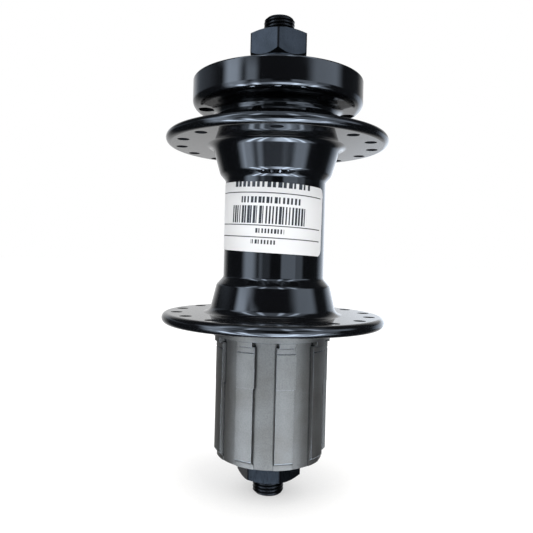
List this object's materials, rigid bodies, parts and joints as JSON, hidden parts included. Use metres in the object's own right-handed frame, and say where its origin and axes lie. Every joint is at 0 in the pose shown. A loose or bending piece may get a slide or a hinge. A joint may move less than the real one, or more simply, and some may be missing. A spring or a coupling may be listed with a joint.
{
  "type": "cassette hub",
  "caption": "Rear bicycle hub with disc rotor mount, two spoke flanges, splined ratchet freehub body and hollow threaded axle with locknuts.",
  "frame": {"origin": "on the axle, half way between the two locknut faces, which is the centre of the box", "axes": "+Z along the axle to the disc side, -Z to the cassette side, -Y towards the viewer of the picture, +X to the right there"},
  "size_m": [0.0678, 0.0678, 0.146],
  "materials": {
    "shell_black": "gloss black anodised",
    "freehub_steel": "satin, bead blasted",
    "black_oxide": "satin black oxide",
    "bearing_steel": "ground",
    "ball_chrome": "polished",
    "plated_steel": "zinc plated",
    "cap_steel": "black painted",
    "seal_rubber": "matt"
  },
  "bodies": {
    "axle_set": {"axle": "black_oxide", "disc_cone": "bearing_steel", "disc_cone_boot": "seal_rubber", "disc_washer": "black_oxide", "disc_spacer": "black_oxide", "disc_locknut": "black_oxide", "drive_cone": "bearing_steel", "drive_washer": "black_oxide", "drive_spacer": "black_oxide", "drive_locknut": "black_oxide"},
    "shell": {"hub_shell": "shell_black", "disc_bearing_cup": "bearing_steel", "disc_dust_cap": "cap_steel", "freehub_fixing_bolt": "plated_steel", "freehub_core": "freehub_steel", "race_shim": "plated_steel", "drive_bearing_cup": "bearing_steel", "drive_dust_cap": "cap_steel", "pawl_spring": "plated_steel"},
    "freehub": {"freehub_body": "freehub_steel", "freehub_seal": "seal_rubber"},
    "pawl_a_arm": {"pawl_a": "bearing_steel"},
    "pawl_b_arm": {"pawl_b": "bearing_steel"},
    "pawl_c_arm": {"pawl_c": "bearing_steel"},
    "disc_ball_ring": {"disc_side_balls": "ball_chrome"},
    "drive_ball_ring": {"drive_side_balls": "ball_chrome"},
    "inner_ball_ring": {"inner_row_balls": "ball_chrome"},
    "outer_ball_ring": {"outer_row_balls": "ball_chrome"}
  },
  "joints": [
    {"name": "shell_spin", "type": "hinge", "parent": "axle_set", "child": "shell", "pos_m": [0, 0, 0], "axis": [0, 0, 1], "continuous": true},
    {"name": "freehub_spin", "type": "hinge", "parent": "shell", "child": "freehub", "pos_m": [0, 0, -0.0412], "axis": [0, 0, 1], "continuous": true},
    {"name": "disc_balls_roll", "type": "hinge", "parent": "axle_set", "child": "disc_ball_ring", "pos_m": [0, 0, 0.046], "axis": [0, 0, 1], "continuous": true},
    {"name": "drive_balls_roll", "type": "hinge", "parent": "axle_set", "child": "drive_ball_ring", "pos_m": [0, 0, -0.052], "axis": [0, 0, 1], "continuous": true},
    {"name": "inner_row_roll", "type": "hinge", "parent": "shell", "child": "inner_ball_ring", "pos_m": [0, 0, -0.0272], "axis": [0, 0, 1], "continuous": true},
    {"name": "outer_row_roll", "type": "hinge", "parent": "shell", "child": "outer_ball_ring", "pos_m": [0, 0, -0.0464], "axis": [0, 0, 1], "continuous": true},
    {"name": "pawl_a_tilt", "type": "hinge", "parent": "shell", "child": "pawl_a_arm", "pos_m": [0.0112, 0, -0.0364], "axis": [0, 0, 1], "range_deg": [-1.5, 11.5], "stiffness_Nm_per_rad": 0.001, "springref_deg": 34.38},
    {"name": "pawl_b_tilt", "type": "hinge", "parent": "shell", "child": "pawl_b_arm", "pos_m": [-0.0056, 0.0097, -0.0364], "axis": [0, 0, 1], "range_deg": [-1.5, 11.5], "stiffness_Nm_per_rad": 0.001, "springref_deg": 34.38},
    {"name": "pawl_c_tilt", "type": "hinge", "parent": "shell", "child": "pawl_c_arm", "pos_m": [-0.0056, -0.0097, -0.0364], "axis": [0, 0, 1], "range_deg": [-1.5, 11.5], "stiffness_Nm_per_rad": 0.001, "springref_deg": 34.38}
  ],
  "couplings": [
    {"joint": "disc_balls_roll", "follows": "shell_spin", "ratio": 0.6188},
    {"joint": "drive_balls_roll", "follows": "shell_spin", "ratio": 0.6188},
    {"joint": "inner_row_roll", "follows": "freehub_spin", "ratio": 0.5432},
    {"joint": "outer_row_roll", "follows": "freehub_spin", "ratio": 0.5432},
    {"joint": "pawl_b_tilt", "follows": "pawl_a_tilt", "ratio": 1},
    {"joint": "pawl_c_tilt", "follows": "pawl_a_tilt", "ratio": 1}
  ]
}
